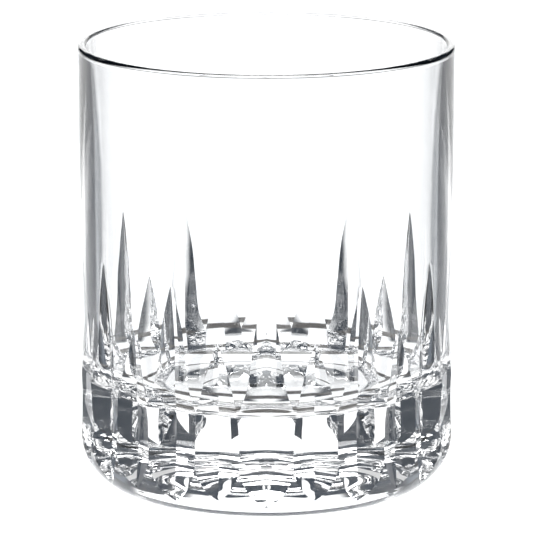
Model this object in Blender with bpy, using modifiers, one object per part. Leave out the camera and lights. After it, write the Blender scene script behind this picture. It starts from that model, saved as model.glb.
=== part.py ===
"""A heavy-based whisky tumbler in clear cut crystal, one solid piece of glass.

The blank is a turned vessel: a thin wall with a rounded drinking lip, a flat-bottomed cavity, a thick
solid base with a wide rounded heel, and a flat foot ring around a shallow hollow. Upright V-shaped
wheel cuts are ground into it all the way round. Long and short cuts take turns: each starts at a point
on the heel, is widest and deepest over the solid base, and runs up the wall to a spear point.

The origin is the centre of the foot, on the surface that the tumbler stands on. +Z runs up its axis,
and a long cut faces each of -Y, +Y, -X and +X. Lengths are in metres.
"""

import math

import bmesh
import bpy
import numpy as np

MM = 0.001

# Overall sizes
HEIGHT = 101.0 * MM
RIM_RADIUS = 42.0 * MM  # outside of the lip
BASE_FLARE = 0.1 * MM  # how much wider the base's radius is than the rim's
BASE_TOP_Z = 24.0 * MM  # where the wall starts to draw in
WAIST_INSET = 0.9 * MM  # how far the wall draws in between the base and the rim
WAIST_Z = 40.0 * MM
SHOULDER_DROP = 14.0 * MM  # below the top, where the wall has widened out again
LIP_BEAD = 0.15 * MM  # how far the fire-polished lip stands out from the wall
BEAD_DROP = 0.6 * MM  # below the middle of the lip, where the wall starts
BASE_RADIUS = RIM_RADIUS + BASE_FLARE
WAIST_RADIUS = RIM_RADIUS - WAIST_INSET

# Glass thickness
LIP_WALL = 1.9 * MM
LOW_WALL = 3.3 * MM  # at the top of the rounding around the cavity's floor
FLOOR_Z = 24.0 * MM  # thickness of the solid base
FLOOR_CORNER = 8.0 * MM  # radius between the cavity's floor and its wall
INSIDE_CURVE = 2.8  # 1 for a straight inside wall; above 1, it stays upright low down and opens near the lip

# Base
HEEL_RADIUS = 12.4 * MM  # rounding between the wall and the foot
FOOT_RING = 2.6 * MM  # width of the flat ring that it stands on
HOLLOW_DEPTH = 0.9 * MM  # the polished hollow inside the foot ring

# Wheel cuts
PAIRS = 12  # long and short cuts take turns around the glass
FACET_SLOPE = 0.34  # how far each side of a cut rises for each unit across it
# Up each cut, (height, half the cut's width on the blank's surface), in millimetres
LONG_CUT = (
    (4.8, 0.0),
    (8.0, 3.5),
    (12.0, 5.6),
    (16.0, 6.2),
    (25.0, 6.6),
    (28.0, 5.6),
    (32.0, 4.3),
    (38.0, 3.4),
    (45.0, 2.6),
    (51.0, 1.3),
    (55.5, 0.0),
)
SHORT_CUT = (
    (6.3, 0.0),
    (9.0, 3.0),
    (12.0, 4.6),
    (16.0, 5.4),
    (22.0, 5.4),
    (26.0, 4.7),
    (30.0, 3.7),
    (35.0, 2.4),
    (39.0, 1.1),
    (42.0, 0.0),
)
# The cuts are ground by hand: how much higher a long cut's upper point is than its sizes say, in
# millimetres, at even steps from -Y round each side to +Y
LONG_RISES = (-1.8, -1.8, 0.0, 1.0, 2.8, 1.6, 1.6)
STRETCH_FROM = 25.0  # the height above which a cut stretches to its point, in millimetres
TIP_FULLNESS = 1.3  # above 1, a cut opens quickly from its points
CUT_OVERRUN = 2.5 * MM  # how far a cutter runs past each point of its cut
CUTTER_HALF_WIDTH = 12.0 * MM

# Look of the glass
CRYSTAL_COLOUR = (0.97, 0.985, 0.99, 1)
CRYSTAL_IOR = 1.53

# Fineness of the solid
AROUND = 72
WALL_ROWS = 12
INSIDE_ROWS = 9
HEEL_ROWS = 7
LIP_ROWS = 7
CORNER_ROWS = 6
HOLLOW_ROWS = 4
AXIS_MERGE = 0.01 * MM  # points nearer the axis than this become one


def clear_scene():
    for old in list(bpy.data.objects):
        bpy.data.objects.remove(old, do_unlink=True)


def collection(name):
    made = bpy.data.collections.new(name)
    bpy.context.scene.collection.children.link(made)
    return made


def ease(share):
    """0 to 1, level at both ends."""
    return share * share * (3 - 2 * share)


def wall_radius(z):
    """The blank's outside between the heel and the lip: base, waist, then out again to the rim."""
    under_lip = RIM_RADIUS - LIP_BEAD
    if z <= WAIST_Z:
        share = (WAIST_Z - z) / (WAIST_Z - BASE_TOP_Z)
        return WAIST_RADIUS + (BASE_RADIUS - WAIST_RADIUS) * ease(min(max(share, 0.0), 1.0))
    shoulder_z = HEIGHT - SHOULDER_DROP
    share = min((z - WAIST_Z) / (shoulder_z - WAIST_Z), 1.0)
    return WAIST_RADIUS + (under_lip - WAIST_RADIUS) * math.sin(share * math.pi / 2)


def blank_radius(z):
    """The blank's outside at any height, the rounded heel included."""
    if z >= HEEL_RADIUS:
        return wall_radius(z)
    drop = min(HEEL_RADIUS - z, HEEL_RADIUS)
    return BASE_RADIUS - HEEL_RADIUS + math.sqrt(HEEL_RADIUS**2 - drop**2)


def arc(centre, radius, start, end, count):
    """Points on an arc, its angles in degrees, as (radius from the axis, height)."""
    angles = np.radians(np.linspace(start, end, count))
    return [(centre[0] + radius * math.cos(a), centre[1] + radius * math.sin(a)) for a in angles]


def blank_profile():
    """Half the blank's section, from the middle of the cavity's floor, over the lip and down to the foot."""
    lip_radius = LIP_WALL / 2
    lip_centre = (RIM_RADIUS - lip_radius, HEIGHT - lip_radius)
    low_inside = wall_radius(FLOOR_Z + FLOOR_CORNER) - LOW_WALL
    corner_centre = (low_inside - FLOOR_CORNER, FLOOR_Z + FLOOR_CORNER)
    ring_outside = BASE_RADIUS - HEEL_RADIUS
    ring_inside = ring_outside - FOOT_RING
    hollow_radius = (ring_inside**2 + HOLLOW_DEPTH**2) / (2 * HOLLOW_DEPTH)
    hollow_reach = math.degrees(math.asin(ring_inside / hollow_radius))
    lip = arc(lip_centre, lip_radius, 180, 0, LIP_ROWS)
    profile = [(0.0, FLOOR_Z)]
    profile += arc(corner_centre, FLOOR_CORNER, -90, 0, CORNER_ROWS)
    for share in np.linspace(0, 1, INSIDE_ROWS)[1:-1]:
        opened = (lip[0][0] - low_inside) * share**INSIDE_CURVE
        profile.append((low_inside + opened, corner_centre[1] + (lip[0][1] - corner_centre[1]) * share))
    profile += lip
    wall_top = lip_centre[1] - BEAD_DROP
    profile += [(wall_radius(z), z) for z in np.linspace(wall_top, HEEL_RADIUS, WALL_ROWS)]
    profile += arc((ring_outside, HEEL_RADIUS), HEEL_RADIUS, 0, -90, HEEL_ROWS)[1:]
    profile += arc((0.0, HOLLOW_DEPTH - hollow_radius), hollow_radius, 90 - hollow_reach, 90, HOLLOW_ROWS)
    profile[-1] = (0.0, HOLLOW_DEPTH)
    return profile


def turned(name, profile, target):
    """A solid of revolution about Z from half its section."""
    mesh = bpy.data.meshes.new(name)
    edges = [(i, i + 1) for i in range(len(profile) - 1)]
    mesh.from_pydata([(r, 0.0, z) for r, z in profile], edges, [])
    obj = bpy.data.objects.new(name, mesh)
    target.objects.link(obj)
    screw = obj.modifiers.new("turn", "SCREW")
    screw.axis = "Z"
    screw.steps = AROUND
    screw.render_steps = AROUND
    screw.use_merge_vertices = True
    screw.merge_threshold = AXIS_MERGE
    screw.use_smooth_shade = True
    return obj


def hand_rise(angle):
    """How much higher the long cut at an angle from -Y ends than its sizes say."""
    from_front = min(angle, 2 * math.pi - angle)
    return float(np.interp(from_front, np.linspace(0, math.pi, len(LONG_RISES)), LONG_RISES))


def raised(cut, rise):
    """A cut whose upper point ends higher, with its sizes above the solid base stretched to suit."""
    reach = cut[-1][0] - STRETCH_FROM
    return tuple((z + rise * max(z - STRETCH_FROM, 0.0) / reach, width) for z, width in cut)


def half_width(z, cut):
    """Half the width of a cut at a height, a smooth curve through its sizes; below zero past its points."""
    heights, widths = np.array(cut).T * MM
    steps = np.diff(heights)
    rises = np.diff(widths) / steps
    slopes = np.zeros(len(heights))
    slopes[0], slopes[-1] = rises[0] * TIP_FULLNESS, rises[-1] * TIP_FULLNESS
    for k in range(1, len(rises)):
        if rises[k - 1] * rises[k] > 0:
            before, after = 2 * steps[k] + steps[k - 1], steps[k] + 2 * steps[k - 1]
            slopes[k] = (before + after) / (before / rises[k - 1] + after / rises[k])
    if z < heights[0]:
        return (z - heights[0]) * slopes[0]
    if z > heights[-1]:
        return (z - heights[-1]) * slopes[-1]
    k = min(max(int(np.searchsorted(heights, z)) - 1, 0), len(steps) - 1)
    t = (z - heights[k]) / steps[k]
    level = widths[k] * (1 + 2 * t) * (1 - t) ** 2 + widths[k + 1] * t * t * (3 - 2 * t)
    return level + steps[k] * (slopes[k] * t * (1 - t) ** 2 - slopes[k + 1] * t * t * (1 - t))


def cutter_sections(cut):
    """(height, radius of the V's edge) up the cutter, at the cut's sizes and halfway between them."""
    heights = [z * MM for z, _ in cut]
    heights += [(low + high) / 2 for low, high in zip(heights, heights[1:])]
    heights = [min(heights) - CUT_OVERRUN, *sorted(heights), max(heights) + CUT_OVERRUN]
    sections = []
    for z in heights:
        width, radius = half_width(z, cut), blank_radius(z)
        sections.append((z, math.sqrt(radius**2 - width**2) - FACET_SLOPE * width))
    # Below its point the cutter goes straight on outwards, clear of the heel that curves away from it.
    sections[0] = (heights[0], sections[1][1])
    return sections


def wheel_cutter(name, cut, angle, target):
    """The space that the V-edged wheel passes through: a loft of V sections up one line of the wall."""
    rise = CUTTER_HALF_WIDTH * FACET_SLOPE
    shape = bmesh.new()
    rings = []
    for z, edge in cutter_sections(cut):
        corners = [(edge, 0.0), (edge + rise, -CUTTER_HALF_WIDTH), (edge + rise, CUTTER_HALF_WIDTH)]
        rings.append([shape.verts.new((x, y, z)) for x, y in corners])
    for low, high in zip(rings, rings[1:]):
        for a, b in ((0, 1), (1, 2), (2, 0)):
            shape.faces.new((low[a], low[b], high[b], high[a]))
    shape.faces.new(rings[0])
    shape.faces.new(rings[-1])
    bmesh.ops.recalc_face_normals(shape, faces=shape.faces)
    mesh = bpy.data.meshes.new(name)
    shape.to_mesh(mesh)
    shape.free()
    obj = bpy.data.objects.new(name, mesh)
    obj.rotation_euler = (0, 0, angle)
    obj.hide_render = True
    obj.display_type = "WIRE"
    target.objects.link(obj)


def crystal_material():
    made = bpy.data.materials.new("clear_crystal")
    made.use_nodes = True
    shader = made.node_tree.nodes["Principled BSDF"]
    shader.inputs["Base Color"].default_value = CRYSTAL_COLOUR
    shader.inputs["Roughness"].default_value = 0.0
    shader.inputs["Metallic"].default_value = 0.0
    shader.inputs["Transmission Weight"].default_value = 1.0
    shader.inputs["IOR"].default_value = CRYSTAL_IOR
    return made


def build_tumbler():
    parts = collection("whisky_tumbler")
    cutters = collection("wheel_cutters")
    tumbler = turned("crystal_tumbler", blank_profile(), parts)
    front = -math.pi / 2
    step = 2 * math.pi / PAIRS
    for i in range(PAIRS):
        long_cut = raised(LONG_CUT, hand_rise(i * step))
        wheel_cutter(f"long_cutter_{i + 1:02d}", long_cut, front + i * step, cutters)
        wheel_cutter(f"short_cutter_{i + 1:02d}", SHORT_CUT, front + (i + 0.5) * step, cutters)
    cut = tumbler.modifiers.new("wheel_cuts", "BOOLEAN")
    cut.operation = "DIFFERENCE"
    cut.operand_type = "COLLECTION"
    cut.collection = cutters
    cut.solver = "EXACT"
    tumbler.data.materials.append(crystal_material())


clear_scene()
build_tumbler()
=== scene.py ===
"""The look of the cut-crystal whisky tumbler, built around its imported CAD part.

The glass is one finely divided closed surface. Its columns follow the edges of the wheel cuts, so every
ridge and groove is a clean line and every side of a cut is an exact, polished face.
Lengths are in metres, +Z is up, and the tumbler stands on z = 0.
"""

import math

import bmesh
import bpy
import numpy as np
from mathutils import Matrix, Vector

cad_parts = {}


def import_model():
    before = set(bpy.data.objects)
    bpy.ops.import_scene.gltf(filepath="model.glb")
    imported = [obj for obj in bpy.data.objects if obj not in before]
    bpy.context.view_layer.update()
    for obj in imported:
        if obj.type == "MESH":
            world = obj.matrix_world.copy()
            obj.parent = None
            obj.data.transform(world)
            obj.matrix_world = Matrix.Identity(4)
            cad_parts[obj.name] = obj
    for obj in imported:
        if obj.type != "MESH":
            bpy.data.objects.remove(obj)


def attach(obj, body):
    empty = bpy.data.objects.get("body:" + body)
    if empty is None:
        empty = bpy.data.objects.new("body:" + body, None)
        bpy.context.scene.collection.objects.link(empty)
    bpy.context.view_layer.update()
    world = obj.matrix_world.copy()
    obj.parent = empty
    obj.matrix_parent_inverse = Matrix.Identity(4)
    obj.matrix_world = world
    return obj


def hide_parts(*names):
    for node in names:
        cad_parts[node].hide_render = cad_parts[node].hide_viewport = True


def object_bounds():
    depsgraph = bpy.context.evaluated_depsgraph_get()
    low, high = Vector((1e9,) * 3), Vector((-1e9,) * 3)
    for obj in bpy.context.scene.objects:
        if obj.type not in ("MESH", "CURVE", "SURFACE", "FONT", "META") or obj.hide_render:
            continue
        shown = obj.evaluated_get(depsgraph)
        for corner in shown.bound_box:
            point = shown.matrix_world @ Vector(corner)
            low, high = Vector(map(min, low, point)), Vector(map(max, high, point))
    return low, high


MM = 0.001

# The blank, as the CAD part has it
RIM_RADIUS = 42.0 * MM
BASE_RADIUS = 42.1 * MM
BASE_TOP_Z = 24.0 * MM
WAIST_RADIUS = 41.1 * MM
WAIST_Z = 40.0 * MM
SHOULDER_DROP = 14.0 * MM
LIP_BEAD = 0.15 * MM
BEAD_DROP = 0.6 * MM
LIP_WALL = 1.9 * MM
LOW_WALL = 3.3 * MM
FLOOR_Z = 24.0 * MM
FLOOR_CORNER = 8.0 * MM
INSIDE_CURVE = 2.8
HEEL_RADIUS = 12.4 * MM
FOOT_RING = 2.6 * MM
HOLLOW_DEPTH = 0.9 * MM

# The wheel cuts, as the CAD part has them
PAIRS = 12
FACET_SLOPE = 0.34
# Half the width of a cut on the blank's surface, by height, in millimetres
LONG_CUT = (
    (4.8, 0.0),
    (8.0, 3.5),
    (12.0, 5.6),
    (16.0, 6.2),
    (25.0, 6.6),
    (28.0, 5.6),
    (32.0, 4.3),
    (38.0, 3.4),
    (45.0, 2.6),
    (51.0, 1.3),
    (55.5, 0.0),
)
SHORT_CUT = (
    (6.3, 0.0),
    (9.0, 3.0),
    (12.0, 4.6),
    (16.0, 5.4),
    (22.0, 5.4),
    (26.0, 4.7),
    (30.0, 3.7),
    (35.0, 2.4),
    (39.0, 1.1),
    (42.0, 0.0),
)
TIP_FULLNESS = 1.3  # above 1, a cut opens quickly from its points
# The cuts are ground by hand: how much higher a long cut's upper point is than its sizes say, in
# millimetres, one cut after another from -Y round each side to +Y
LONG_RISES = (-1.8, -1.8, 0.0, 1.0, 2.8, 1.6, 1.6)
STRETCH_FROM = 25  # the height above which a cut stretches to its point, in millimetres

# The glass
CRYSTAL_COLOUR = (0.985, 0.993, 1.0, 1)
CRYSTAL_IOR = 1.545
WAVE_SIZE, WAVE_HEIGHT = 9.0 * MM, 0.012 * MM  # what hand polishing leaves

# Fineness
FACE_COLUMNS = 4  # across each side of a cut
PLAIN_COLUMNS = 8  # across the uncut glass between a long cut and the next short one
FLOOR_ROWS = 12
CORNER_ROWS = 36
INSIDE_ROWS = 30
LIP_ROWS = 41
WALL_ROWS = 110
HEEL_ROWS = 40
HOLLOW_ROWS = 12
CREASE = math.radians(8.5)  # edges sharper than this stay crisp
MEETING_STEPS = 50  # halvings that find where two cuts meet
TINY = 1e-6  # stands in for a radius of nothing
WELD = 2e-6  # points nearer than this become one

# The floor
FLOOR_SPAN = 6.0  # from its middle to each side
FLOOR_COLOUR = (0.92, 0.92, 0.92, 1)
FLOOR_ROUGHNESS = 0.9
FLOOR_SHEEN = 0.1

# Camera, at the photograph's viewing angle
CAMERA_DISTANCE = 0.897
CAMERA_HEIGHT = 0.2548
CAMERA_PITCH = math.radians(12.87)
CAMERA_LENS = 275.9
SENSOR = 36.0
CAMERA_REACH = 50

# Light paths
GLASS_BOUNCES = 24
GLOSSY_BOUNCES = 12

# The studio, in degrees: around the horizon from the middle of each side, and above the horizon
DEGREES = 180 / math.pi
CORNER = 45.0
CARD_START, CARD_SOFT = 16.0, 4.0  # upright dark cards across the corners of the studio
CORNER_START = 38.0  # the cards' lighter outer edge
CARD_FOOT, FOOT_SOFT = -40.0, 8.0  # where the cards end below the horizon
DRAPE_LOW, DRAPE_HIGH, DRAPE_SOFT = 17.0, 64.0, 1.0  # dark drape from the white walls up to the softbox
SHADOW_LOW, SHADOW_HIGH, SHADOW_SOFT = -72.0, -54.0, 3.0  # painted contact shadow: a grey ring of the view below the horizon, standing for shade on the table close to the glass's foot
LINE_LOW, LINE_HIGH, LINE_SOFT = -29.0, -22.5, 1.5  # a thin grey band below the horizon
WHITE_WALL = (1.35, 1.35, 1.35, 1)
DARK_CARD = (0.022, 0.031, 0.044, 1)
GREY_CORNER = (0.13, 0.155, 0.185, 1)
DARK_DRAPE = (0.026, 0.038, 0.056, 1)
# grey of the painted contact shadow ring and of the thin grey band below the horizon
SHADOW_AND_LINE_GREY = (0.10, 0.093, 0.086, 1)
SOFTBOX = (6.2, 6.2, 6.2, 1)


def ease(share):
    """0 to 1, level at both ends."""
    return share * share * (3 - 2 * share)


def wall_radius(z, height):
    """The blank's outside between the heel and the lip."""
    if z <= WAIST_Z:
        share = (WAIST_Z - z) / (WAIST_Z - BASE_TOP_Z)
        return WAIST_RADIUS + (BASE_RADIUS - WAIST_RADIUS) * ease(min(max(share, 0.0), 1.0))
    share = min((z - WAIST_Z) / (height - SHOULDER_DROP - WAIST_Z), 1.0)
    return WAIST_RADIUS + (RIM_RADIUS - LIP_BEAD - WAIST_RADIUS) * math.sin(share * math.pi / 2)


def blank_radius(z, height):
    """The blank's outside at any height, the rounded heel included."""
    if z >= HEEL_RADIUS:
        return wall_radius(z, height)
    drop = min(HEEL_RADIUS - z, HEEL_RADIUS)
    return BASE_RADIUS - HEEL_RADIUS + math.sqrt(HEEL_RADIUS**2 - drop**2)


def half_width(z, cut):
    """Half the width of a cut at a height, and 0 past its points: a smooth curve through its sizes."""
    heights, widths = np.array(cut).T * MM
    if not heights[0] < z < heights[-1]:
        return 0.0
    steps = np.diff(heights)
    rise = np.diff(widths) / steps
    slopes = np.zeros(len(heights))
    for k in range(1, len(heights) - 1):
        if rise[k - 1] * rise[k] > 0:
            a, b = 2 * steps[k] + steps[k - 1], steps[k] + 2 * steps[k - 1]
            slopes[k] = (a + b) / (a / rise[k - 1] + b / rise[k])
    slopes[0], slopes[-1] = rise[0] * TIP_FULLNESS, rise[-1] * TIP_FULLNESS
    k = int(np.searchsorted(heights, z)) - 1
    t = (z - heights[k]) / steps[k]
    return max(
        widths[k] * (1 + 2 * t) * (1 - t) ** 2
        + widths[k + 1] * t * t * (3 - 2 * t)
        + steps[k] * (slopes[k] * t * (1 - t) ** 2 - slopes[k + 1] * t * t * (1 - t)),
        0.0,
    )


def raised(cut, rise):
    """A cut whose upper point ends higher, with its sizes above the solid base stretched to suit."""
    reach = cut[-1][0] - STRETCH_FROM
    return tuple((z + rise * max(z - STRETCH_FROM, 0) / reach, width) for z, width in cut)


def cut_face_radius(radius, width, angle):
    """Distance from the axis to the side of a cut, at an angle from the middle of the cut."""
    edge = math.sqrt(radius**2 - width**2) - FACET_SLOPE * width
    return edge / (math.cos(angle) - FACET_SLOPE * math.sin(angle))


def meeting_angle(radius, long_width, short_width, span):
    """Where the sides of two neighbouring cuts meet, as an angle from the middle of the long one."""
    low, high = 0.0, span
    for _ in range(MEETING_STEPS):
        middle = (low + high) / 2
        long_side = cut_face_radius(radius, long_width, middle)
        if long_side < cut_face_radius(radius, short_width, span - middle):
            low = middle
        else:
            high = middle
    return low


def sector(radius, long_width, short_width):
    """(angle, radius) across one sector, from the middle of a long cut to the middle of a short one."""
    span = math.pi / PAIRS
    if radius <= max(long_width, short_width):
        long_width = short_width = 0.0
    long_edge = math.asin(long_width / max(radius, TINY))
    short_edge = math.asin(short_width / max(radius, TINY))
    met = long_edge + short_edge > span
    if met:
        long_edge = meeting_angle(radius, long_width, short_width, span)
        short_edge = span - long_edge
    long_angles = np.linspace(0, long_edge, FACE_COLUMNS + 1)
    plain_angles = np.linspace(long_edge, span - short_edge, PLAIN_COLUMNS + 1)[1:-1]
    short_angles = np.linspace(short_edge, 0, FACE_COLUMNS + 1)
    points = [(a, cut_face_radius(radius, long_width, a)) for a in long_angles]
    plain = points[-1][1] if met else radius
    points += [(a, plain) for a in plain_angles]
    points += [(span - a, cut_face_radius(radius, short_width, a)) for a in short_angles]
    return points


def row_points(radius, z, long_widths=(0.0,) * len(LONG_RISES), short_width=0.0):
    """One closed row of points around the glass."""
    halves = [sector(radius, width, short_width) for width in long_widths]
    width = 2 * math.pi / PAIRS
    row = []
    for i in range(PAIRS):
        this, following = halves[min(i, PAIRS - i)], halves[min(i + 1, PAIRS - i - 1)]
        for a, r in this + [(width - a, r) for a, r in reversed(following[1:-1])]:
            turn = a + i * width - math.pi / 2
            row.append((r * math.cos(turn), r * math.sin(turn), z))
    return row


def arc(centre, radius, start, end, count):
    """Points on an arc, its angles in degrees, as (radius from the axis, height)."""
    angles = np.radians(np.linspace(start, end, count))
    return [(centre[0] + radius * math.cos(a), centre[1] + radius * math.sin(a)) for a in angles]


def tumbler_mesh(height):
    """The glass from the middle of the cavity's floor, over the lip and down to the middle of the hollow."""
    lip_radius = LIP_WALL / 2
    lip_centre = (RIM_RADIUS - lip_radius, height - lip_radius)
    low_inside = wall_radius(FLOOR_Z + FLOOR_CORNER, height) - LOW_WALL
    corner_centre = (low_inside - FLOOR_CORNER, FLOOR_Z + FLOOR_CORNER)
    ring_inside = BASE_RADIUS - HEEL_RADIUS - FOOT_RING
    hollow_radius = (ring_inside**2 + HOLLOW_DEPTH**2) / (2 * HOLLOW_DEPTH)
    hollow_reach = math.degrees(math.asin(ring_inside / hollow_radius))

    rows = []
    for r in np.linspace(0.0, corner_centre[0], FLOOR_ROWS)[1:-1]:
        rows.append(row_points(r, FLOOR_Z))
    corner = arc(corner_centre, FLOOR_CORNER, -90, 0, CORNER_ROWS)
    lip = arc(lip_centre, lip_radius, 180, 0, LIP_ROWS)
    rows += [row_points(r, z) for r, z in corner]
    for share in np.linspace(0, 1, INSIDE_ROWS)[1:-1]:
        r = corner[-1][0] + (lip[0][0] - corner[-1][0]) * share**INSIDE_CURVE
        rows.append(row_points(r, corner[-1][1] + (lip[0][1] - corner[-1][1]) * share))
    rows += [row_points(r, z) for r, z in lip]
    wall_top = lip_centre[1] - BEAD_DROP
    long_cuts = [raised(LONG_CUT, rise) for rise in LONG_RISES]
    tips = [cut[end][0] * MM for cut in (*long_cuts, SHORT_CUT) for end in (0, -1)]
    heights = list(np.linspace(wall_top, HEEL_RADIUS, WALL_ROWS))
    heel = [HEEL_RADIUS * (1 - math.cos(a)) for a in np.linspace(math.pi / 2, 0, HEEL_ROWS)]
    for z in sorted({*heights, *heel, *tips}, reverse=True):
        long_widths = [half_width(z, cut) for cut in long_cuts]
        rows.append(row_points(blank_radius(z, height), z, long_widths, half_width(z, SHORT_CUT)))
    rows.append(row_points(ring_inside, 0.0))
    hollow = arc((0.0, HOLLOW_DEPTH - hollow_radius), hollow_radius, 90 - hollow_reach, 90, HOLLOW_ROWS)
    rows += [row_points(r, z) for r, z in hollow[1:-1]]
    return skinned(rows)


def skinned(rows):
    """The closed, smooth-shaded surface through the rows, sharp along the edges of the cuts."""
    count = len(rows[0])
    verts = [p for row in rows for p in row]
    faces = []
    for k in range(len(rows) - 1):
        for i in range(count):
            j = (i + 1) % count
            faces.append((k * count + i, (k + 1) * count + i, (k + 1) * count + j, k * count + j))
    top, bottom = len(verts), len(verts) + 1
    verts += [(0, 0, FLOOR_Z), (0, 0, HOLLOW_DEPTH)]
    last = (len(rows) - 1) * count
    for i in range(count):
        j = (i + 1) % count
        faces.append((top, i, j))
        faces.append((bottom, last + j, last + i))
    mesh = bpy.data.meshes.new("crystal_tumbler")
    mesh.from_pydata(verts, [], faces)
    shape = bmesh.new()
    shape.from_mesh(mesh)
    bmesh.ops.remove_doubles(shape, verts=shape.verts, dist=WELD)
    bmesh.ops.recalc_face_normals(shape, faces=shape.faces)
    for face in shape.faces:
        face.smooth = True
    shape.to_mesh(mesh)
    shape.free()
    mesh.set_sharp_from_angle(angle=CREASE)
    return mesh


def crystal():
    """Clear crystal, with the barely visible waviness that hand polishing leaves."""
    made = bpy.data.materials.new("lead_crystal")
    made.use_nodes = True
    nodes, links = made.node_tree.nodes, made.node_tree.links
    shader = nodes["Principled BSDF"]
    shader.inputs["Base Color"].default_value = CRYSTAL_COLOUR
    shader.inputs["Roughness"].default_value = 0.0
    shader.inputs["Transmission Weight"].default_value = 1.0
    shader.inputs["IOR"].default_value = CRYSTAL_IOR
    coords = nodes.new("ShaderNodeTexCoord")
    waves = nodes.new("ShaderNodeTexNoise")
    links.new(coords.outputs["Object"], waves.inputs["Vector"])
    waves.inputs["Scale"].default_value = 1 / WAVE_SIZE
    waves.inputs["Detail"].default_value = 1.0
    height = maths(nodes, links, "MULTIPLY", waves.outputs["Fac"], WAVE_HEIGHT)
    bump = nodes.new("ShaderNodeBump")
    bump.inputs["Strength"].default_value = 1.0
    bump.inputs["Distance"].default_value = 1.0
    links.new(height, bump.inputs["Height"])
    links.new(bump.outputs["Normal"], shader.inputs["Normal"])
    return made


def stage_floor():
    """The white surface that the tumbler stands on."""
    mesh = bpy.data.meshes.new("floor")
    corners = [(x * FLOOR_SPAN, y * FLOOR_SPAN, 0) for x, y in ((-1, -1), (1, -1), (1, 1), (-1, 1))]
    mesh.from_pydata(corners, [], [(0, 1, 2, 3)])
    floor = bpy.data.objects.new("floor", mesh)
    bpy.context.scene.collection.objects.link(floor)
    made = bpy.data.materials.new("white_table")
    made.use_nodes = True
    shader = made.node_tree.nodes["Principled BSDF"]
    shader.inputs["Base Color"].default_value = FLOOR_COLOUR
    shader.inputs["Roughness"].default_value = FLOOR_ROUGHNESS
    shader.inputs["Specular IOR Level"].default_value = FLOOR_SHEEN
    floor.data.materials.append(made)
    return floor


def maths(nodes, links, operation, *values):
    """A maths node whose inputs are numbers or other nodes' outputs."""
    node = nodes.new("ShaderNodeMath")
    node.operation = operation
    for socket, value in zip(node.inputs, values):
        if isinstance(value, (int, float)):
            socket.default_value = value
        else:
            links.new(value, socket)
    return node.outputs[0]


def smooth_step(nodes, links, value, start, end):
    """0 where value is at start, 1 where it is at end, smooth between them."""
    node = nodes.new("ShaderNodeMapRange")
    node.interpolation_type = "SMOOTHSTEP"
    links.new(value, node.inputs["Value"])
    node.inputs["From Min"].default_value = start
    node.inputs["From Max"].default_value = end
    return node.outputs[0]


def covered(nodes, links, below, factor, colour):
    """A colour laid over another output where the factor is 1."""
    mix = nodes.new("ShaderNodeMix")
    mix.data_type = "RGBA"
    links.new(factor, mix.inputs["Factor"])
    if isinstance(below, tuple):
        mix.inputs["A"].default_value = below
    else:
        links.new(below, mix.inputs["A"])
    if isinstance(colour, tuple):
        mix.inputs["B"].default_value = colour
    else:
        links.new(colour, mix.inputs["B"])
    return mix.outputs["Result"]


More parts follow.
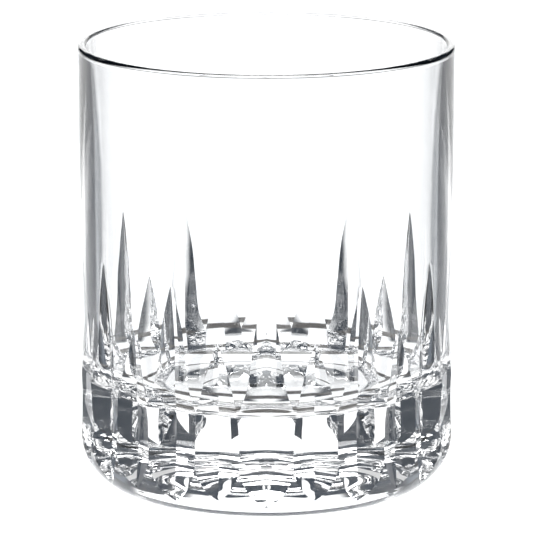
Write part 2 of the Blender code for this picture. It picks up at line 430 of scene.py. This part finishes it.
def studio_world():
    """Soft white light all round and overhead, with the dark cards and drape that draw a crystal's edges."""
    world = bpy.data.worlds.new("studio")
    bpy.context.scene.world = world
    world.use_nodes = True
    nodes, links = world.node_tree.nodes, world.node_tree.links
    back = nodes["Background"]
    coords = nodes.new("ShaderNodeTexCoord")
    split = nodes.new("ShaderNodeSeparateXYZ")
    links.new(coords.outputs["Generated"], split.inputs[0])
    x, y, z = split.outputs
    rise = maths(nodes, links, "MULTIPLY", maths(nodes, links, "ARCSINE", z), DEGREES)
    turn = maths(nodes, links, "MULTIPLY", maths(nodes, links, "ARCTAN2", x, y), DEGREES)
    quarter = maths(nodes, links, "ABSOLUTE", maths(nodes, links, "WRAP", turn, CORNER, -CORNER))

    def between(low, high, soft):
        rising = smooth_step(nodes, links, rise, low, low + soft)
        falling = smooth_step(nodes, links, rise, high, high - soft)
        return maths(nodes, links, "MULTIPLY", rising, falling)

    card = smooth_step(nodes, links, quarter, CARD_START, CARD_START + CARD_SOFT)
    card_foot = smooth_step(nodes, links, rise, CARD_FOOT, CARD_FOOT + FOOT_SOFT)
    card = maths(nodes, links, "MULTIPLY", card, card_foot)
    corner = smooth_step(nodes, links, quarter, CORNER_START, CORNER_START + CARD_SOFT)
    card_colour = covered(nodes, links, DARK_CARD, corner, GREY_CORNER)
    colour = covered(nodes, links, WHITE_WALL, card, card_colour)
    # painted contact shadow: the grey ring below the horizon, close to the glass's foot
    colour = covered(nodes, links, colour, between(SHADOW_LOW, SHADOW_HIGH, SHADOW_SOFT), SHADOW_AND_LINE_GREY)
    colour = covered(nodes, links, colour, between(LINE_LOW, LINE_HIGH, LINE_SOFT), SHADOW_AND_LINE_GREY)
    drape = smooth_step(nodes, links, rise, DRAPE_LOW - DRAPE_SOFT, DRAPE_LOW + DRAPE_SOFT)
    colour = covered(nodes, links, colour, drape, DARK_DRAPE)
    softbox = smooth_step(nodes, links, rise, DRAPE_HIGH - 2 * DRAPE_SOFT, DRAPE_HIGH + 2 * DRAPE_SOFT)
    colour = covered(nodes, links, colour, softbox, SOFTBOX)
    links.new(colour, back.inputs["Color"])
    back.inputs["Strength"].default_value = 1.0


def main():
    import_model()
    cad_low, cad_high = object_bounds()
    scene = bpy.context.scene

    tumbler = bpy.data.objects.new("cut_crystal", tumbler_mesh(cad_high[2]))
    scene.collection.objects.link(tumbler)
    tumbler.data.materials.append(crystal())
    tumbler.visible_shadow = False
    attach(tumbler, "root")
    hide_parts("crystal_tumbler")

    floor = stage_floor()
    floor.visible_transmission = False
    studio_world()

    camera_data = bpy.data.cameras.new("camera")
    camera_data.lens = CAMERA_LENS
    camera_data.sensor_width = SENSOR
    camera_data.clip_end = CAMERA_REACH
    camera = bpy.data.objects.new("camera", camera_data)
    scene.collection.objects.link(camera)
    camera.location = (0, -CAMERA_DISTANCE, CAMERA_HEIGHT)
    camera.rotation_euler = (math.pi / 2 - CAMERA_PITCH, 0, 0)
    scene.camera = camera

    scene.view_settings.view_transform = "Standard"
    scene.cycles.max_bounces = GLASS_BOUNCES
    scene.cycles.transmission_bounces = GLASS_BOUNCES
    scene.cycles.glossy_bounces = GLOSSY_BOUNCES
    scene.cycles.use_denoising = True


main()
